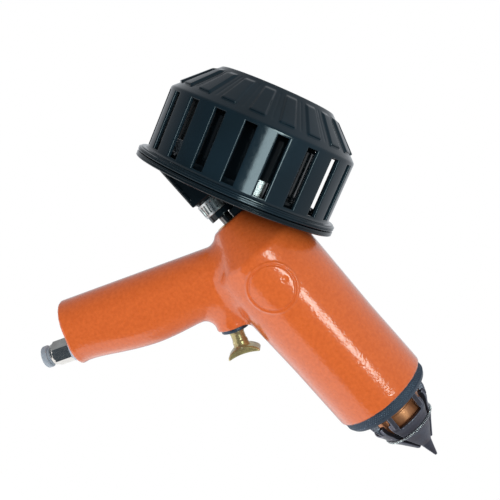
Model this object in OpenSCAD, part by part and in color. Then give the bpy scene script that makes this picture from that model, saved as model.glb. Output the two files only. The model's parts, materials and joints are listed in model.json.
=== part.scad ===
// Hand-held pneumatic capping tool: a pistol casting with an air cylinder, a drum hopper
// that drops caps into a central feed tube, and a nose of four sprung jaws.
// Frame: +X along the barrel towards the nose, +Z up, handle below.
// The origin is on the barrel's axis at the front end of the casting.

/* [Barrel] */
// Radius of the cylindrical clamp seat at the front of the barrel
seat_r = 31.5; // [31:0.5:32.5]
// Length of the clamp seat
seat_len = 45; // [30:1:55]
// Radius of the barrel where the rear cone starts
body_r = 33.3; // [33:0.1:34.5]
// Length of the casting from its front end to the rear cone
body_len = 118; // [116:0.5:120]
// Length of the rear cone
cone_len = 24; // [23:0.5:26]
// Radius of the flat rear face
rear_face_r = 12.5; // [11:0.5:14]
// Radius of the round pads cast on the barrel's sides
pad_r = 15.1; // [12:0.1:16]

/* [Air cylinder] */
// Radius of the liner's bore
bore_r = 25; // [23:0.5:25.5]
// Stroke of the piston, set by the stop tube
stroke = 30; // [20:1:30]
// Radius of the hollow piston rod
rod_r = 8; // [7:0.5:8.5]
// Outer radius of the feed tube
tube_r = 3.8; // [3.6:0.1:4]

/* [Handle] */
// Backward lean of the handle
handle_lean = 21; // [18:1:24]
// Distance from the barrel's axis to the handle's end, along the handle
handle_len = 134; // [125:1:140]
// Front to back size of the handle
handle_depth = 45; // [42:1:46]
// Side to side size of the handle
handle_width = 34; // [30:1:36]

/* [Trigger] */
// Radius of the trigger's stem
stem_r = 5; // [4:0.5:5.5]
// Travel of the trigger
trigger_travel = 6; // [4:0.5:7]
// Chord of the finger plate
plate_chord = 21; // [18:1:24]

/* [Drum] */
// Backward tilt of the drum
drum_tilt = 25.4; // [24:0.2:27]
// Radius of the drum's flange
flange_r = 64; // [62:1:66]
// Radius of the drum's slotted wall
wall_r = 59.3; // [58:0.1:60]
// Height of the slotted wall above the middle of the flange
wall_h = 42; // [38:1:46]
// Height of the drum's top rim
rim_h = 64; // [60:1:68]
// Radius of the drum's top rim
rim_r = 36; // [32:1:40]
// Number of slots round the drum
slot_count = 20; // [16:1:22]
// Width of one slot
slot_w = 6.5; // [5:0.5:7.5]

/* [Nose] */
// Length of the knurled ring
ring_len = 7.5; // [6:0.1:9]
// Distance from the casting to the long jaws' tips
beak_x = 55.8; // [52:0.2:58]
// Distance from the casting to the short jaws' ends
short_x = 44; // [42:0.5:46]
// Turn of the four jaws about the barrel's axis
jaw_phase = 16; // [0:1:30]

/* [Hidden] */
$fn = 64;
eps = 0.01;
fit_gap = 0.05;
rear_x = -body_len - cone_len;

// cylinder parts
liner_r = bore_r + 3;
liner_rear = -109;
piston_rear = -106;
piston_len = 14;
piston_x = piston_rear + piston_len;
rod_bore_r = tube_r + 0.5;
rod_front = 12;
tip_len = 8;
gland_x = [-16, -3.2];
skirt_r = 29.5;
skirt_len = 14;

// handle frame: the handle's axis meets the barrel's axis here
handle_x = -107.2;
end_round = 3;
trigger_z = -33;
boss_x = 30.5;
boss_r = 11;
chamber_r = 5.5;
bush_x = 18;
spool_x = -2;
chamber_x = spool_x - trigger_travel - 6;
plate_tip_x = 50;
plate_width = 13;
inlet_x = 9;
hex_af = 14;
air_bore_r = 4.05;
collar_gap = 1.8;

// drum frame: the centre of the flange's middle plane
drum_c = [-153.6, 0, 16.3];
base_z = -3.0;
floor_z = [-2.2, 0];
base_top = -0.2;
basket_z = 0.3;
flange_top = 3.7;
wall_t = 2.5;
slot_z = [5.7, 40];
slot_phase = 15;
slot_step = 360 / slot_count;
roof_z = [54, 56.5];
spindle_r = 5;
screw_at = [32, 8];
disc_r = 47;
disc_z = [3, 8];
pusher_count = 3;
pusher_phase = -75;
pusher_x = [41, 52];
pusher_half = 4.2;
pusher_top = 14;
hub_r = 36;
hub_top = 41.5;

// feed neck and its clamp
neck_r = 8.6;
neck_x = [-164.5, -147.5];
chute_x = -201.5;
chute_low = -10.2;
chute_half = 9.5;
band_x = [-160.7, -151.7];
foot_half = 6.5;

// nose parts
ring_r = seat_r - 1.3;
ring_bore_r = 25.6;
pivot_x = 7.5;
pivot_r = 19.5;
pin_r = 1.5;
ear_half = 8.4;
arm_half = 11.8;
window_half = 8.8;
window_end = 20.2;
jaw_half_angle = 38;
spring_x = 28.5;
spring_r = 17.4;
jaw_turns = [90, -90, 180, 0];

// frames and shared shapes

module along_x() rotate([0, 90, 0]) children();

module in_handle() translate([handle_x, 0, 0]) rotate([0, handle_lean, 0]) children();

module in_trigger() in_handle() translate([0, 0, trigger_z]) along_x() children();

module in_inlet() in_handle() translate([inlet_x, 0, -handle_len]) children();

module in_drum() translate(drum_c) rotate([0, -drum_tilt, 0]) children();

module ring(r_out, r_in, z0, z1)
    rotate_extrude() translate([r_in, z0]) square([r_out - r_in, z1 - z0]);

module rod(r, z0, z1) translate([0, 0, z0]) cylinder(r = r, h = z1 - z0);

module coils(mean_r, wire_r, z0, z1, count)
    for (i = [0 : count - 1])
        translate([0, 0, z0 + wire_r + i * (z1 - z0 - 2 * wire_r) / (count - 1)])
            rotate_extrude() translate([mean_r, 0]) circle(r = wire_r, $fn = 24);

// everything on the far side of a plane across the drum's axis
module above_drum_plane(z) in_drum() translate([-100, -100, z]) cube([200, 200, 100]);

module below_drum_plane(z) in_drum() translate([-100, -100, z - 100]) cube([200, 200, 100]);

// casting

module barrel_solid(grow = 0)
    along_x() rotate_extrude() polygon([
        [0, 0], [seat_r + grow, 0], [seat_r + grow, -seat_len], [body_r + grow, -body_len],
        [rear_face_r + grow, rear_x], [0, rear_x]]);

module handle_section(z, h, shrink = 0) {
    half = handle_width / 2 - shrink;
    spread = (handle_depth - handle_width) / 2;
    translate([0, 0, z]) linear_extrude(h) union() {
        translate([-spread, 0]) circle(r = half, $fn = 32);
        translate([spread, 0]) circle(r = half, $fn = 32);
        translate([-spread, -half]) square([2 * spread, 2 * half]);
    }
}

module handle_solid() {
    hull() {
        handle_section(-handle_len + end_round, handle_len);
        handle_section(-handle_len + end_round / 3, 1, end_round * 0.25);
        handle_section(-handle_len, 1, end_round * 0.7);
    }
    // flare where the handle meets the barrel
    hull() {
        handle_section(-48, 1, 0.5);
        translate([6, 0, -24]) handle_section(0, 1, -2);
        translate([3.5, 0, -16]) handle_section(0, 1, -3);
    }
}

module side_pads()
    intersection() {
        barrel_solid(0.7);
        translate([-97.3, 0, -3.1]) rotate([90, 0, 0]) rod(pad_r, -50, 50);
    }

module main_casting() color([0.85, 0.42, 0.2]) difference() {
    union() {
        barrel_solid();
        in_handle() handle_solid();
        in_trigger() rod(boss_r, 0, boss_x);
        side_pads();
    }
    along_x() rod(liner_r + fit_gap, liner_rear, 1);
    along_x() rod(skirt_r + fit_gap, -skirt_len - 2, 1);
    along_x() rod(9, rear_x - 1, liner_rear + 1);
    in_trigger() rod(chamber_r, chamber_x, bush_x + 1);
    in_trigger() rod(8, bush_x, boss_x + 1);
    in_inlet() rod(5, -1, 16);
    in_inlet() rod(2.5, 0, handle_len + trigger_z);
    in_handle() translate([4, 0, 0]) rod(2, trigger_z, -16);
    above_drum_plane(base_z);
    in_drum() for (side = [-1, 1]) translate([screw_at.x, side * screw_at.y, 0]) rod(2, -13, 0);
}

module cylinder_liner() color("silver")
    along_x() ring(liner_r, bore_r, liner_rear, gland_x[0] - 0.1);

module rear_bush() color("goldenrod") along_x() ring(9, tube_r, rear_x, liner_rear);

module feed_tube() color("gainsboro") along_x() ring(tube_r, 3.15, -158.5, -60);

module front_gland() color("silver") along_x() difference() {
    ring(liner_r - 0.3, rod_r + fit_gap, gland_x[0], gland_x[1]);
    ring(rod_r + 1.6, rod_r - 1, -11, -8.4);
}

module gland_seal() color("dimgray") along_x() ring(rod_r + 1.6, rod_r + fit_gap, -11, -8.4);

module piston() color("lightgray") along_x() difference() {
    ring(bore_r - fit_gap, rod_r, piston_rear, piston_x);
    ring(bore_r + 1, bore_r - 2.5, piston_rear + 5.5, piston_rear + 8.5);
}

module piston_rod() color("silver") along_x() {
    ring(rod_r, rod_bore_r, piston_rear, rod_front - tip_len);
    ring(rod_r - 2, rod_bore_r, rod_front - tip_len, rod_front);
}

module piston_seal() color("dimgray")
    along_x() ring(bore_r - 0.02, bore_r - 2.5, piston_rear + 5.5, piston_rear + 8.5);

// limits the piston's stroke
module stop_tube() color("silver") along_x()
    ring(rod_r + 2.2, rod_r + 0.5, piston_x + stroke + 0.3, gland_x[0]);

module return_spring() color("silver")
    along_x() coils(13.5, 1.1, piston_x, gland_x[0], 11);

// nose

module retaining_ring() color([0.13, 0.16, 0.2]) along_x() {
    ring(ring_r, ring_bore_r, 0, ring_len);
    ring(skirt_r, liner_r - 0.2, -skirt_len, 0);
}

module at_jaws() for (turn = jaw_turns) rotate([turn - jaw_phase, 0, 0]) children();

module nose_body() color([0.2, 0.21, 0.24]) difference() {
    union() {
        along_x() ring(27, 9, -3, 0);
        along_x() ring(22.5, 9, 0, 3);
        along_x() ring(15.8, 9, 3, 10);
        at_jaws() translate([2, -ear_half, 14]) cube([8, 2 * ear_half, 8]);
    }
    at_jaws() translate([pivot_x, 0, pivot_r]) rotate([90, 0, 0]) rod(pin_r, -arm_half - 1, arm_half + 1);
}

module nose_sleeve() color([0.72, 0.42, 0.25])
    along_x() rotate_extrude()
        polygon([[9.6, 10], [17.2, 10], [17.2, 20], [14.4, 24.5], [9.6, 24.5]]);

module jaw_pins() color("silver")
    at_jaws() translate([pivot_x, 0, pivot_r]) rotate([90, 0, 0]) rod(pin_r, -arm_half, arm_half);

// a jaw is drawn on the +Z side and turned to its place
function jaw_outside(tip) = concat(
    [[22, 14.5], [22.1, 17.5], [21.2, 20.5], [19, 24], [17.5, 27.4], [16.6, 27.8], [16.6, 29.2],
        [17, 29.7]],
    tip);
function jaw_inside(tip) = concat(tip, [[14.9, 25], [17.9, 19.5], [18.6, 14.5]]);
function jaw_profile(long) = long
    ? concat(jaw_outside([[13.4, 34.5], [6.2, short_x], [1.6, beak_x]]),
        jaw_inside([[0.35, beak_x], [3.6, short_x], [10, 34]]))
    : concat(jaw_outside([[13.4, 34.5], [6.8, short_x]]),
        jaw_inside([[4.4, short_x], [10, 34]]));

module jaw(long, turn) rotate([turn - jaw_phase, 0, 0]) {
    difference() {
        along_x() rotate([0, 0, 180 - jaw_half_angle])
            rotate_extrude(angle = 2 * jaw_half_angle) polygon(jaw_profile(long));
        // window over the sleeve
        translate([12, -window_half, 12]) cube([window_end - 12, 2 * window_half, 12]);
    }
    for (side = [-1, 1])
        translate([0, side * (ear_half + 0.3 + arm_half) / 2, 0]) rotate([90, 0, 0])
            linear_extrude(arm_half - ear_half - 0.3, center = true) difference() {
                union() {
                    translate([pivot_x, pivot_r]) circle(r = 2.9);
                    polygon([[pivot_x, 16.8], [pivot_x, 22.4], [13.5, 21.4], [18.5, 19.4],
                        [18.5, 17.9], [14, 16.8]]);
                }
                translate([pivot_x, pivot_r]) circle(r = pin_r + fit_gap);
            }
}

module jaw_near() color([0.22, 0.23, 0.27]) jaw(true, jaw_turns[0]);

module jaw_far() color([0.22, 0.23, 0.27]) jaw(true, jaw_turns[1]);

module jaw_top() color([0.22, 0.23, 0.27]) jaw(false, jaw_turns[3]);

module jaw_bottom() color([0.22, 0.23, 0.27]) jaw(false, jaw_turns[2]);

module garter_spring() color("silver")
    along_x() translate([0, 0, spring_x]) rotate_extrude() translate([spring_r, 0]) circle(r = 0.75);

// trigger and valve, drawn along the trigger's axis

module trigger_bush() color([0.2, 0.21, 0.24]) in_trigger() {
    ring(8, stem_r + fit_gap, bush_x, boss_x);
    ring(9, stem_r + fit_gap, boss_x, boss_x + 2.5);
}

plate_dish_r = 33;
plate_dish_x = plate_tip_x - 1.7 + plate_dish_r;
plate_back_r = 13.5;
plate_back_x = plate_tip_x - 6.6 + plate_back_r;

module trigger() color("darkgoldenrod") in_trigger() {
    rod(stem_r, spool_x + 16, plate_back_x - plate_back_r + 1.2);
    rotate([90, 0, 0]) linear_extrude(plate_width, center = true) difference() {
        intersection() {
            translate([0, plate_back_x]) circle(r = plate_back_r);
            translate([-plate_chord / 2, plate_tip_x - 10]) square([plate_chord, 10.4]);
        }
        translate([0, plate_dish_x]) circle(r = plate_dish_r, $fn = 128);
    }
}

module valve_spool() color("silver") in_trigger() difference() {
    rod(chamber_r - fit_gap, spool_x, spool_x + 16);
    ring(chamber_r + 1, 3.5, spool_x + 5, spool_x + 9);
    for (z = [1.5, 12]) ring(chamber_r + 1, 4.6, spool_x + z, spool_x + z + 1.8);
}

module valve_seals() color("dimgray") in_trigger()
    for (z = [1.5, 12]) ring(chamber_r - 0.03, 4.6, spool_x + z, spool_x + z + 1.8);

module valve_spring() color("silver") in_trigger() coils(3.6, 0.5, chamber_x, spool_x, 6);

// air inlet, drawn from the handle's end

module inlet_fitting() color("lightgray") in_inlet() difference() {
    union() {
        rod(4.95, -2, 14);
        translate([0, 0, -14]) cylinder(r = hex_af / 2 / cos(30), h = 12, $fn = 6);
        rod(6.8, -16, -14);
    }
    rod(air_bore_r, -17, -3);
    rod(5.3, -17, -10);
    rod(2.5, -4, 15);
}

module inlet_seal() color("lightsteelblue") in_inlet() ring(7, 4.95, -2, 0);

module inlet_collar() color("slategray") in_inlet() {
    ring(7.2, air_bore_r + 0.15, -21.5, -16 - collar_gap);
    ring(5.25, air_bore_r + 0.15, -16 - collar_gap, -13);
}

// drum, drawn along the drum's axis

module chute_solid()
    intersection() {
        translate([chute_x, -chute_half, chute_low]) cube([neck_x[0] + 2 - chute_x, 2 * chute_half, 40]);
        below_drum_plane(floor_z[0] + eps);
    }

module drum_base() color([0.12, 0.14, 0.16]) difference() {
    union() {
        in_drum() rod(wall_r, floor_z[0], floor_z[1]);
        in_drum() ring(flange_r, wall_r - 3, base_z, base_top);
        in_drum() ring(wall_r - wall_t - 0.5, wall_r - wall_t - 2, floor_z[0], 3);
        chute_solid();
        along_x() rod(neck_r, neck_x[0], neck_x[1]);
    }
    along_x() rod(4.4, -191.5, -160.5);
    along_x() rod(tube_r, -161.5, neck_x[1] + 1);
    in_drum() rod(spindle_r, -3, 1);
    in_drum() for (side = [-1, 1]) translate([screw_at.x, side * screw_at.y, 0]) rod(2, -3, 1);
}

module drum_foot() color([0.1, 0.11, 0.13]) difference() {
    intersection() {
        translate([neck_x[1], -foot_half, 4.6]) cube([38, 2 * foot_half, 40]);
        below_drum_plane(floor_z[0]);
    }
    intersection() {
        barrel_solid();
        below_drum_plane(base_z);
    }
    in_drum() for (side = [-1, 1]) translate([screw_at.x, side * screw_at.y, 0]) rod(2, -13, 0);
}

module base_screws() color("silver")
    in_drum() for (side = [-1, 1]) translate([screw_at.x, side * screw_at.y, 0]) {
        rod(2, -12.5, floor_z[1]);
        rod(3.5, floor_z[1], floor_z[1] + 2);
    }

module spindle() color("silver") in_drum() {
    rod(spindle_r, floor_z[0], roof_z[0] - 12);
    rod(3.9, roof_z[0] - 12, roof_z[1] + 3);
    ring(7, spindle_r, floor_z[1], floor_z[1] + 1.5);
}

module at_pushers()
    for (i = [0 : pusher_count - 1]) rotate([0, 0, pusher_phase + i * 360 / pusher_count]) children();

module feed_disc() color([0.1, 0.12, 0.14]) in_drum() difference() {
    ring(disc_r, spindle_r + fit_gap, disc_z[0], disc_z[1]);
    at_pushers() translate([pusher_x[0], -pusher_half, 0]) cube([20, 2 * pusher_half, 20]);
}

// blocks that push the caps round the drum
module disc_pushers() color("silver") in_drum() at_pushers()
    translate([pusher_x[0], -pusher_half, disc_z[0]])
        cube([pusher_x[1] - pusher_x[0], 2 * pusher_half, pusher_top - disc_z[0]]);

// keeps the caps out of the middle of the drum
module rotor_hub() color([0.1, 0.12, 0.14]) in_drum()
    rotate_extrude() polygon([
        [spindle_r + fit_gap, disc_z[1]], [hub_r, disc_z[1]], [hub_r, hub_top - 3], [hub_r - 3, hub_top],
        [spindle_r + fit_gap, hub_top]]);

module basket_wall()
    rotate_extrude() polygon([
        [flange_r - 0.5, basket_z], [flange_r, 0.8], [flange_r, flange_top - 1.3],
        [flange_r - 1.2, flange_top - 0.8], [flange_r - 1.2, flange_top], [wall_r, flange_top],
        [wall_r, wall_h], [rim_r, rim_h],
        [rim_r - wall_t, rim_h], [rim_r - wall_t, roof_z[1]], [5.4, roof_z[1]], [5.4, roof_z[0]],
        [rim_r + 6.5, roof_z[0]], [wall_r - wall_t, wall_h - 1.2], [wall_r - wall_t, basket_z]]);

module cone_pads() {
    run = wall_r - rim_r;
    rise = rim_h - wall_h;
    low = 0.25;
    high = 0.86;
    proud = 1.3;
    for (i = [0 : slot_count - 1])
        rotate([0, 0, slot_phase + i * slot_step - slot_step * 0.3])
            rotate_extrude(angle = slot_step * 0.6) polygon([
                [wall_r - low * run - 1, wall_h + low * rise - 1],
                [wall_r - low * run + 0.4, wall_h + low * rise + 0.4],
                [wall_r - (low + 0.06) * run + proud, wall_h + (low + 0.06) * rise + proud],
                [wall_r - (high - 0.06) * run + proud, wall_h + (high - 0.06) * rise + proud],
                [wall_r - high * run, wall_h + high * rise],
                [wall_r - high * run - 1, wall_h + high * rise - 1]]);
}

module drum_basket() color([0.1, 0.12, 0.14]) in_drum() difference() {
    union() {
        rotate([0, 0, slot_phase + slot_step / 2]) basket_wall();
        cone_pads();
    }
    for (i = [0 : slot_count - 1])
        rotate([0, 0, slot_phase + i * slot_step])
            translate([wall_r - 5, -slot_w / 2, slot_z[0]]) cube([10, slot_w, slot_z[1] - slot_z[0]]);
}

module thumb_nut() color([0.15, 0.16, 0.18]) in_drum() difference() {
    union() {
        rod(5.32, roof_z[0] - 3, roof_z[1] + 0.4);
        rod(13, roof_z[1] + 0.4, rim_h - 1);
    }
    rod(4, roof_z[0] - 4, roof_z[1] + 3.4);
    ring(6, 4.6, roof_z[0] - 1.8, roof_z[0] - 0.8);
    for (i = [0 : 11]) rotate([0, 0, i * 30]) translate([14.2, 0, 0]) rod(2.2, roof_z[1], rim_h);
}

module nut_clip() color("silver") in_drum() ring(8, 4.6, roof_z[0] - 1.8, roof_z[0] - 0.8);

// feed clamp

module clamp_band() color("silver") along_x() difference() {
    ring(neck_r + 0.8, neck_r, band_x[0], band_x[1]);
    for (i = [-5 : 5]) rotate([0, 0, 90 + i * 18])
        translate([0, 0, (band_x[0] + band_x[1]) / 2]) rotate([0, 90, 0]) rotate([0, 0, 15])
            translate([-2.6, -0.55, -15]) cube([5.2, 1.1, 15]);
}

module clamp_housing() color("silver") difference() {
    translate([band_x[0], neck_r + 0.8, -6]) cube([9, 7.2, 12]);
    translate([(band_x[0] + band_x[1]) / 2, neck_r + 4.4, 0]) rod(3.1, -7, 7);
}

module clamp_screw() color("gray") translate([(band_x[0] + band_x[1]) / 2, neck_r + 4.4, 0]) {
    rod(3, -7, 6.4);
    translate([0, 0, -11]) cylinder(r = 4, h = 4, $fn = 6);
}

main_casting();
cylinder_liner();
rear_bush();
feed_tube();
front_gland();
gland_seal();
piston();
piston_rod();
piston_seal();
stop_tube();
return_spring();
retaining_ring();
nose_body();
nose_sleeve();
jaw_pins();
jaw_near();
jaw_far();
jaw_top();
jaw_bottom();
garter_spring();
trigger_bush();
trigger();
valve_spool();
valve_seals();
valve_spring();
inlet_fitting();
inlet_seal();
inlet_collar();
drum_base();
drum_foot();
base_screws();
spindle();
feed_disc();
disc_pushers();
rotor_hub();
drum_basket();
thumb_nut();
nut_clip();
clamp_band();
clamp_housing();
clamp_screw();
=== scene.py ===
"""Looks of the hand-held capping tool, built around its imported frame.

Row frame: +X along the barrel towards the nose, +Z up, the origin at the casting's front end.
Shapes are drawn in millimetres, in the frame of the axis that they belong to."""
import json
import math

import bmesh
import bpy
import numpy as np
from mathutils import Matrix, Vector


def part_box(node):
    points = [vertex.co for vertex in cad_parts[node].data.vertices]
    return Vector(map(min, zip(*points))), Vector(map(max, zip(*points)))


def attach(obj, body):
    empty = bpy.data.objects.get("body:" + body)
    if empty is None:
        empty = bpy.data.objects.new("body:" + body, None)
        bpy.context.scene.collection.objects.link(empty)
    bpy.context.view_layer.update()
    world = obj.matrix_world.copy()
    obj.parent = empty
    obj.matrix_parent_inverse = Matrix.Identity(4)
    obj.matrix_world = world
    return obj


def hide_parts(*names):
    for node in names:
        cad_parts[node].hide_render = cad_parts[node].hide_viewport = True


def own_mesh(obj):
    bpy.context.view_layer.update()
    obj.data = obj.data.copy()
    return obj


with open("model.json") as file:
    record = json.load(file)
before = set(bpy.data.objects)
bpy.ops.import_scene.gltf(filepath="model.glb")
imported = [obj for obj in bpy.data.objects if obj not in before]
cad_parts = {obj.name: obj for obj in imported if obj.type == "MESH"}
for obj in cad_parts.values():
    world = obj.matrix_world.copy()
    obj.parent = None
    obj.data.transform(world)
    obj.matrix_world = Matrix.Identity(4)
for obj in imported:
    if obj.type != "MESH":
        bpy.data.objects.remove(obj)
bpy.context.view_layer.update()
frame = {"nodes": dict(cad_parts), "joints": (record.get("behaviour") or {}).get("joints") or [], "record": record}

scene = bpy.context.scene
MM = 0.001
TAU = 2 * math.pi
JOINT = {j["name"]: j for j in frame["joints"]}
MOUNT = {m["name"]: m for m in frame["record"]["mounts"]}


# ---- frames and sizes

def mapped(points, matrix):
    """Points, one in a row, taken through a matrix."""
    turn = np.array(matrix)
    return points @ turn[:3, :3].T + turn[:3, 3]


def upright(origin, up):
    """The frame at origin with Z along up and Y along the row's +Y. Lengths in it are millimetres."""
    z = Vector(up).normalized()
    y = Vector((0, 1, 0))
    place = Matrix((y.cross(z), y, z)).transposed().to_4x4()
    place.translation = Vector(origin)
    return place @ Matrix.Scale(MM, 4)


def extent(node, place):
    """(lowest z, highest z, largest radius) of a CAD node in a frame."""
    points = np.array([v.co for v in frame["nodes"][node].data.vertices])
    local = mapped(points, place.inverted())
    return local[:, 2].min(), local[:, 2].max(), np.hypot(local[:, 0], local[:, 1]).max()


def middle(node):
    low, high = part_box(node)
    return (low + high) / 2


INLET_DEPTH = 10
SPOOL_END = 2

# each frame's matrix takes its millimetres to the row's metres
ROW = Matrix.Scale(MM, 4)
BARREL = upright((0, 0, 0), MOUNT["barrel_seat"]["axis"])
DRUM = upright(JOINT["disc_spin"]["pos_m"], JOINT["disc_spin"]["axis"])
GRIP = upright(MOUNT["grip"]["pos_m"], -Vector(MOUNT["grip"]["axis"]))
INLET = upright(MOUNT["air_inlet"]["pos_m"], -Vector(MOUNT["air_inlet"]["axis"]))
INLET = INLET @ Matrix.Translation((0, 0, INLET_DEPTH))
TRIGGER = upright(middle("valve_spool"), -Vector(JOINT["trigger_slide"]["axis"]))
TRIGGER = TRIGGER @ Matrix.Translation((0, 0, extent("valve_spool", TRIGGER)[0] + SPOOL_END))

# between a frame's millimetres and the row's millimetres
BARREL_TO_ROW = ROW.inverted() @ BARREL
ROW_TO_DRUM = DRUM.inverted() @ ROW
ROW_TO_GRIP = GRIP.inverted() @ ROW


# ---- shapes: (vertices, faces) in mm

ALMOST_STRAIGHT = 1.54
ARC_SHARE = 0.48


def softened(points, radius, steps=3):
    """A closed outline with each corner turned into an arc. radius is one number, or one for each point."""
    count = len(points)
    radii = [radius] * count if isinstance(radius, (int, float)) else list(radius)
    out = []
    for i, point in enumerate(points):
        here = Vector(point)
        back = Vector(points[i - 1]) - here
        ahead = Vector(points[(i + 1) % count]) - here
        half = back.angle(ahead) / 2
        if radii[i] <= 0 or half > ALMOST_STRAIGHT:
            out.append(tuple(here))
            continue
        cut = min(radii[i] / math.tan(half), ARC_SHARE * back.length, ARC_SHARE * ahead.length)
        radius_here = cut * math.tan(half)
        inward = (back.normalized() + ahead.normalized()).normalized()
        centre = here + inward * (radius_here / math.sin(half))
        start = here + back.normalized() * cut - centre
        end = here + ahead.normalized() * cut - centre
        sweep = start.angle_signed(end)
        for k in range(steps + 1):
            turn = -sweep * k / steps
            c, s = math.cos(turn), math.sin(turn)
            out.append((centre.x + start.x * c - start.y * s, centre.y + start.x * s + start.y * c))
    return out


def lathe(profile, steps=96, shape=None):
    """Turns (radius, z) points about Z. shape(radius, z, angle) may change the radius round the turn."""
    points = np.array(profile, float)
    radius = np.repeat(points[:, :1], steps, 1)
    height = np.repeat(points[:, 1:], steps, 1)
    turns = np.arange(steps) * TAU / steps
    angle = np.repeat(turns[None], len(points), 0)
    if shape:
        radius = shape(radius, height, angle)
    verts = np.stack([radius * np.cos(angle), radius * np.sin(angle), height], -1).reshape(-1, 3)
    faces = []
    for i in range(len(points)):
        k = (i + 1) % len(points)
        for j in range(steps):
            n = (j + 1) % steps
            faces.append((i * steps + j, i * steps + n, k * steps + n, k * steps + j))
    return verts, faces


def ring(outer, inner, low, high, edge, steps=96):
    """A turned ring with softened edges."""
    profile = [(inner, low), (outer, low), (outer, high), (inner, high)]
    return lathe(softened(profile, edge), steps)


def hexagon(half_flats):
    """A lathe shape that cuts what is turned to a hexagon."""
    def cut(radius, height, angle):
        return np.minimum(radius, half_flats / np.cos(angle % (math.pi / 3) - math.pi / 6))
    return cut


def from_middle(angle, middle_angle, pitch):
    """The angle to the nearest of the features that repeat at a pitch."""
    return np.abs((angle - middle_angle + pitch / 2) % pitch - pitch / 2)


def prism(outline, low, high):
    """An (x, y) outline pulled from low to high along Z."""
    count = len(outline)
    verts = [(x, y, z) for z in (low, high) for x, y in outline]
    faces = [(i, (i + 1) % count, count + (i + 1) % count, count + i) for i in range(count)]
    return np.array(verts), faces + [tuple(reversed(range(count))), tuple(range(count, 2 * count))]


# a direction that no wire starts along
OFF_WIRE = (0.3, 0.2, 0.9)


def tube(path, radius, sides):
    """A round wire along points, with a frame that doesn't twist."""
    along = np.gradient(path, axis=0)
    along /= np.linalg.norm(along, axis=1)[:, None]
    side = np.cross(along[0], OFF_WIRE)
    verts = []
    for point, way in zip(path, along):
        side = side - way * (side @ way)
        side /= np.linalg.norm(side)
        other = np.cross(way, side)
        for k in range(sides):
            angle = TAU * k / sides
            verts.append(point + radius * (math.cos(angle) * side + math.sin(angle) * other))
    faces = []
    last = (len(path) - 1) * sides
    for start in range(0, last, sides):
        for k in range(sides):
            m = (k + 1) % sides
            faces.append((start + k, start + m, start + sides + m, start + sides + k))
    faces.append(tuple(reversed(range(sides))))
    faces.append(tuple(range(last, last + sides)))
    return np.array(verts), faces


def moved(shape, matrix):
    verts, faces = shape
    return mapped(verts, matrix), faces


def joined(*shapes):
    """Several shapes as one."""
    verts, faces, start = [], [], 0
    for more_verts, more_faces in shapes:
        verts.append(np.asarray(more_verts, float))
        faces += [tuple(start + i for i in face) for face in more_faces]
        start += len(more_verts)
    return np.concatenate(verts), faces


# ---- cast and moulded shapes as fields

def round_union(a, b, radius):
    """Joins two distance fields with a fillet in the valley."""
    ua, ub = np.maximum(radius - a, 0), np.maximum(radius - b, 0)
    return np.maximum(radius, np.minimum(a, b)) - np.hypot(ua, ub)


def round_cut(a, b, radius):
    """What lies in both fields, with the edge between them rounded."""
    ua, ub = np.maximum(radius + a, 0), np.maximum(radius + b, 0)
    return np.minimum(-radius, np.maximum(a, b)) + np.hypot(ua, ub)


def outline_field(points, u, v):
    """Signed distance to a closed outline."""
    points = np.array(points, float)
    distance = np.full(u.shape, 1e9)
    inside = np.zeros(u.shape, bool)
    for (au, av), (bu, bv) in zip(points, np.roll(points, -1, 0)):
        du, dv = bu - au, bv - av
        t = np.clip(((u - au) * du + (v - av) * dv) / (du * du + dv * dv), 0, 1)
        distance = np.minimum(distance, np.hypot(u - au - t * du, v - av - t * dv))
        if abs(dv) > 1e-9:
            inside ^= ((av > v) != (bv > v)) & (u < au + du * (v - av) / dv)
    return np.where(inside, -distance, distance)


def surface(field, low, high, step):
    """Vertices and faces where the field is zero: one vertex a cell, settled onto the surface."""
    axes = [np.arange(a, b + step, step) for a, b in zip(low, high)]
    grid = np.stack(np.meshgrid(*axes, indexing="ij"), -1)
    shape = grid.shape[:3]
    value = field(grid.reshape(-1, 3)).reshape(shape)
    inside = value < 0
    total = np.zeros([n - 1 for n in shape] + [3])
    count = np.zeros([n - 1 for n in shape])

    def corner(array, c):
        return array[tuple(slice(c[n], c[n] + shape[n] - 1) for n in range(3))]

    for axis in range(3):
        for a in np.ndindex(2, 2, 2):
            if a[axis]:
                continue
            b = tuple(1 if n == axis else a[n] for n in range(3))
            crossed = corner(inside, a) != corner(inside, b)
            gap = np.where(crossed, corner(value, a) - corner(value, b), 1)
            share = np.where(crossed, corner(value, a) / gap, 0)
            for n in range(3):
                total[..., n] += crossed * (a[n] + (share if n == axis else 0))
            count += crossed
    used = count > 0
    index = np.full(used.shape, -1)
    index[used] = np.arange(used.sum())
    verts = np.array(low) + (np.argwhere(used) + total[used] / count[used][:, None]) * step
    faces = []
    for axis in range(3):
        u, v = (axis + 1) % 3, (axis + 2) % 3
        first = [slice(1, -1)] * 3
        first[axis] = slice(0, -1)
        second = list(first)
        second[axis] = slice(1, None)
        a, b = inside[tuple(first)], inside[tuple(second)]
        edges = np.argwhere(a != b)
        for n in (u, v):
            edges[:, n] += 1
        flip = a[a != b]
        quad = []
        for back_u, back_v in ((1, 1), (0, 1), (0, 0), (1, 0)):
            cell = edges.copy()
            cell[:, u] -= back_u
            cell[:, v] -= back_v
            quad.append(index[tuple(cell.T)])
        quad = np.stack(quad, 1)
        faces.append(np.where(flip[:, None], quad, quad[:, ::-1]))
    return settled(field, verts, step), np.concatenate(faces).tolist()


SETTLING_ROUNDS = 3
PROBE = 0.02
LEAST_SLOPE = 0.2


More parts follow.
